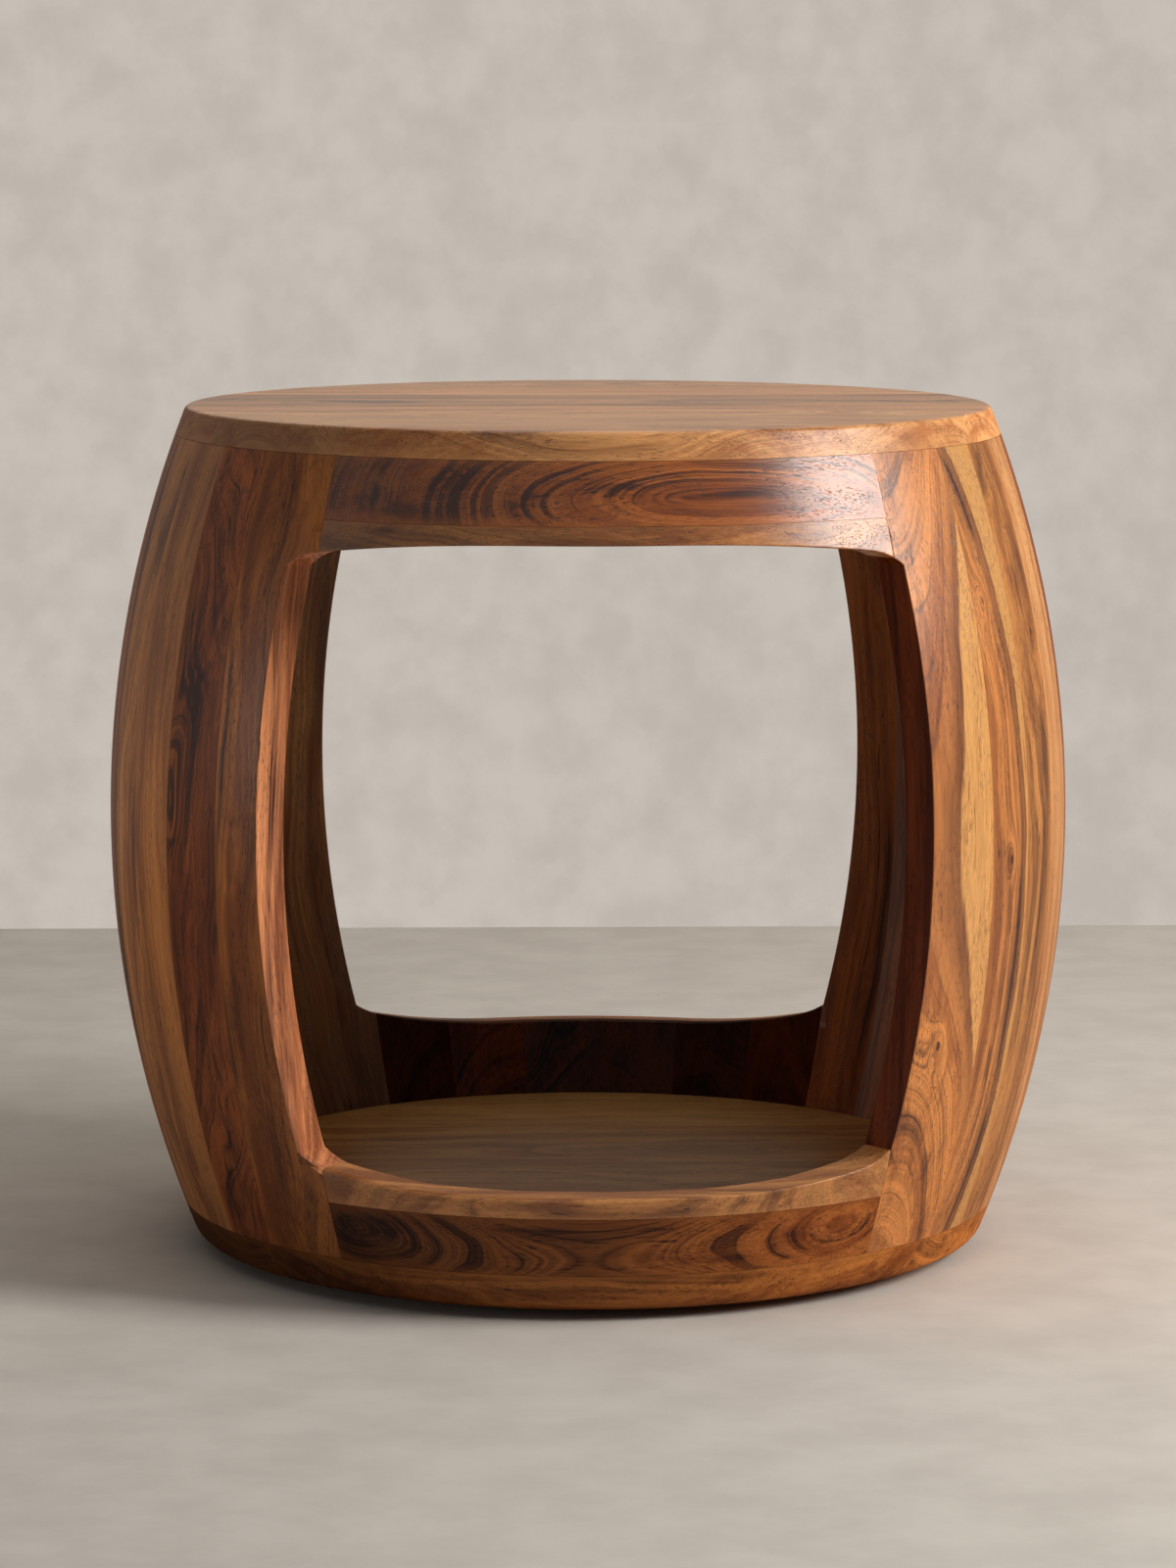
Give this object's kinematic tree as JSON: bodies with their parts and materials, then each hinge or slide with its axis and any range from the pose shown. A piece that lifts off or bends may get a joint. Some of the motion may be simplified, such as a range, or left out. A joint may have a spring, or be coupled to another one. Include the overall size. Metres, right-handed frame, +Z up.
{
  "type": "round side table",
  "caption": "Drum-shaped solid wood side table: round plank top, bowed stave walls, and a bay open through front and back between curved rails over an inner floor.",
  "frame": {"origin": "on the floor, under the middle of the table", "axes": "+Z up, -Y towards the front bay, +X to the right seen from the front"},
  "size_m": [0.57, 0.5216, 0.5],
  "materials": {
    "top_wood": "solid hardwood, satin clear lacquer",
    "dark_stave_wood": "solid hardwood, satin clear lacquer",
    "brown_stave_wood": "solid hardwood, satin clear lacquer",
    "golden_stave_wood": "solid hardwood, satin clear lacquer",
    "rail_wood": "solid hardwood, satin clear lacquer",
    "strip_wood": "solid hardwood, satin clear lacquer",
    "lining_wood": "solid hardwood, satin clear lacquer",
    "base_wood": "solid hardwood, satin clear lacquer",
    "floor_wood": "solid hardwood, satin clear lacquer",
    "tenon_wood": "plain hardwood, glued in",
    "glide_plastic": "dark moulded plastic"
  },
  "bodies": {
    "root": {"base_plank_1": "base_wood", "base_plank_2": "base_wood", "base_plank_3": "base_wood", "base_plank_4": "base_wood", "base_plank_5": "base_wood", "base_tenons": "tenon_wood", "floor_plank_1": "floor_wood", "floor_plank_2": "floor_wood", "floor_plank_3": "floor_wood", "floor_plank_4": "floor_wood", "glides": "glide_plastic", "left_stave_01": "dark_stave_wood", "left_stave_02": "dark_stave_wood", "left_stave_03": "golden_stave_wood", "left_stave_04": "dark_stave_wood", "left_stave_05": "brown_stave_wood", "left_stave_06": "dark_stave_wood", "left_stave_07": "golden_stave_wood", "left_stave_08": "brown_stave_wood", "left_stave_09": "dark_stave_wood", "left_stave_10": "golden_stave_wood", "left_stave_11": "dark_stave_wood", "lower_back_rail_board": "rail_wood", "lower_back_rail_lining": "lining_wood", "lower_back_rail_strip": "strip_wood", "lower_front_rail_board": "rail_wood", "lower_front_rail_lining": "lining_wood", "lower_front_rail_strip": "strip_wood", "rail_tenons": "tenon_wood", "right_stave_01": "brown_stave_wood", "right_stave_02": "brown_stave_wood", "right_stave_03": "brown_stave_wood", "right_stave_04": "golden_stave_wood", "right_stave_05": "brown_stave_wood", "right_stave_06": "dark_stave_wood", "right_stave_07": "golden_stave_wood", "right_stave_08": "brown_stave_wood", "right_stave_09": "dark_stave_wood", "right_stave_10": "golden_stave_wood", "right_stave_11": "dark_stave_wood", "top_plank_1": "top_wood", "top_plank_2": "top_wood", "top_plank_3": "top_wood", "top_plank_4": "top_wood", "top_plank_5": "top_wood", "top_plank_6": "top_wood", "top_tenons": "tenon_wood", "upper_back_rail_board": "rail_wood", "upper_back_rail_lining": "lining_wood", "upper_back_rail_strip": "strip_wood", "upper_front_rail_board": "rail_wood", "upper_front_rail_lining": "lining_wood", "upper_front_rail_strip": "strip_wood"}
  },
  "joints": []
}
